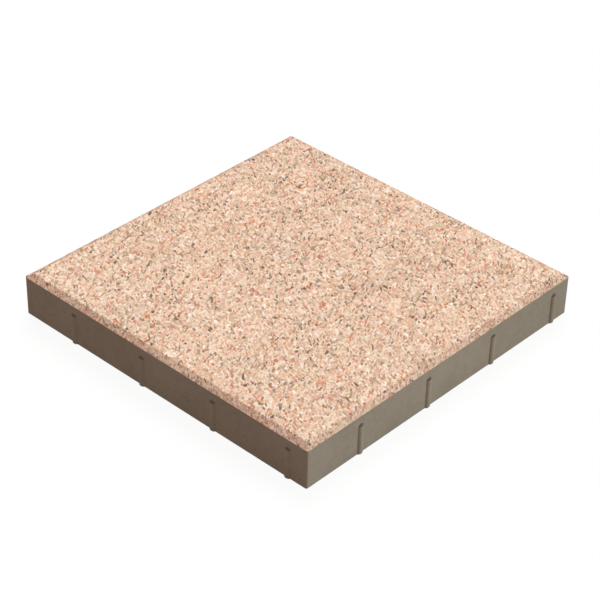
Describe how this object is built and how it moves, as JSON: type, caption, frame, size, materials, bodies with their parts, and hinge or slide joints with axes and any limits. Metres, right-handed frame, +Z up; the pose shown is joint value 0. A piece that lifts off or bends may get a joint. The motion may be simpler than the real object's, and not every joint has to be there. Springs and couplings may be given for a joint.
{
  "type": "concrete paving slab",
  "caption": "Square pressed concrete paving slab with a granite-chip facing, bevelled top edges and half-round spacer nibs down its plain sides.",
  "frame": {"origin": "centre of the slab at its bed face, which lies on the ground", "axes": "+Z up out of the walking face; X and Y square to the four sides"},
  "size_m": [0.404, 0.404, 0.05],
  "materials": {
    "concrete": "matte concrete, with a washed granite-chip facing on the walking face and its bevels"
  },
  "bodies": {
    "root": {"paving_slab": "concrete"}
  },
  "joints": []
}
